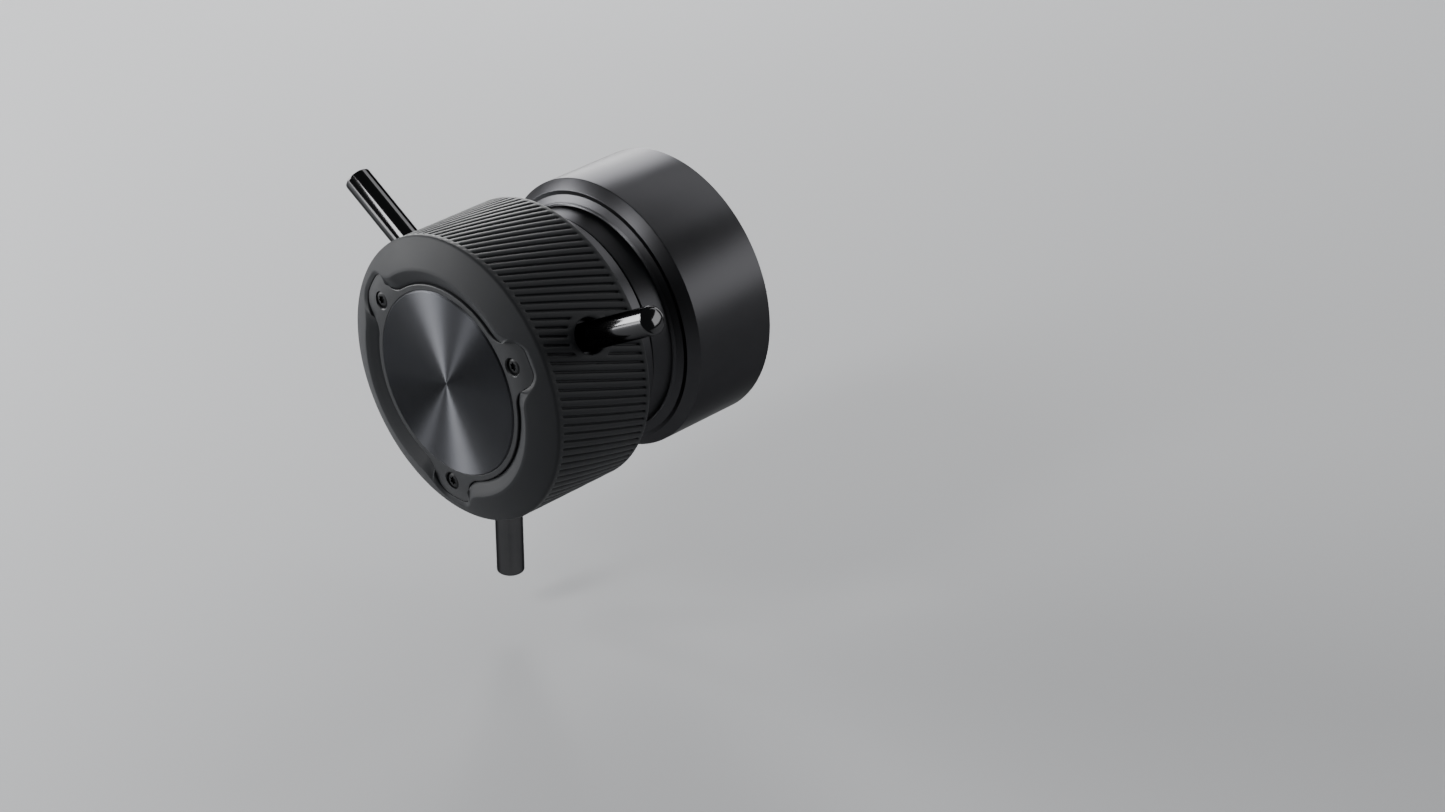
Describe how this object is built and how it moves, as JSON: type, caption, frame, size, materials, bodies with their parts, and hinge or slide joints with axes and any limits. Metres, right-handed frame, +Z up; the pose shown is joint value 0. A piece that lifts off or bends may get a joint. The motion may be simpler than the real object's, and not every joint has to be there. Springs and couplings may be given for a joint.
{
  "type": "camera focus demand",
  "caption": "Hand focus control: a ribbed knob with grip pegs and a bare badge, turning on a fixed drum that hangs on a toothed rosette.",
  "frame": {"origin": "centre of the mouth of the rosette's threaded bush, 1.4 mm inside the tooth tips", "axes": "+Y along the knob's axis from the badge to the rosette, +Z up, +X to the right seen from the knob"},
  "size_m": [0.1242, 0.0944, 0.1116],
  "materials": {
    "grip_rubber": "matte soft-touch moulded rubber",
    "plate_satin": "satin black painted zinc",
    "badge_turned": "turned and black anodised, radial sheen",
    "black_screws": "black oxide",
    "hub_aluminium": "machined",
    "peg_chrome": "polished dark chrome",
    "shaft_steel": "ground",
    "spring_steel": "oiled",
    "bearing_steel": "ground and polished",
    "cage_brass": "pressed",
    "drum_anodised": "fine satin black anodising",
    "rosette_anodised": "black anodising",
    "felt": "dark wool felt",
    "plated_screws": "zinc plated",
    "sensor_plastic": "moulded black",
    "board_laminate": "green solder mask",
    "ribbon_film": "polyester film",
    "socket_steel": "plated shell",
    "button_plastic": "moulded black"
  },
  "bodies": {
    "housing": {"bearing_housing": "drum_anodised", "felt_seal": "felt", "flange_screws": "plated_screws", "housing_drum": "drum_anodised", "encoder_sensor": "sensor_plastic", "encoder_board": "board_laminate", "encoder_board_screws": "plated_screws", "main_board": "board_laminate", "main_board_screws": "plated_screws", "ribbon_connectors": "sensor_plastic", "ribbon_cable": "ribbon_film", "usb_sockets": "socket_steel", "button_switch": "sensor_plastic", "rear_cover": "drum_anodised", "cover_screws": "black_screws", "rosette_mount": "rosette_anodised", "rosette_screws": "plated_screws", "thread_bush": "shaft_steel", "front_bearing_outer_race": "bearing_steel", "rear_bearing_outer_race": "bearing_steel"},
    "knob": {"grip_sleeve": "grip_rubber", "badge_carrier": "plate_satin", "badge_disc": "badge_turned", "carrier_screws": "black_screws", "hub_face": "hub_aluminium", "hub_screws": "plated_screws", "knob_hub": "hub_aluminium", "grip_peg_right": "peg_chrome", "grip_peg_left": "peg_chrome", "grip_peg_lower": "peg_chrome", "knob_shaft": "shaft_steel", "shaft_washer": "shaft_steel", "shaft_screw": "black_screws", "drive_pin": "shaft_steel", "shaft_clip": "spring_steel", "bearing_spacer": "shaft_steel", "front_bearing_inner_race": "bearing_steel", "rear_bearing_inner_race": "bearing_steel", "encoder_hub": "hub_aluminium", "encoder_grub": "black_screws", "encoder_wheel": "spring_steel"},
    "bearing_cages": {"front_bearing_balls": "bearing_steel", "front_bearing_cage": "cage_brass", "rear_bearing_balls": "bearing_steel", "rear_bearing_cage": "cage_brass"},
    "button": {"direction_button": "button_plastic"}
  },
  "joints": [
    {"name": "knob_spin", "type": "hinge", "parent": "housing", "child": "knob", "pos_m": [-0.012, -0.0721, 0], "axis": [0, 1, 0], "continuous": true},
    {"name": "cage_spin", "type": "hinge", "parent": "housing", "child": "bearing_cages", "pos_m": [-0.012, -0.0721, 0], "axis": [0, 1, 0], "continuous": true},
    {"name": "button_press", "type": "slide", "parent": "housing", "child": "button", "axis": [0, -1, 0], "range_m": [0, 0.0008], "stiffness_N_per_m": 800, "springref_m": -0.001}
  ],
  "couplings": [
    {"joint": "cage_spin", "follows": "knob_spin", "ratio": 0.3678}
  ]
}
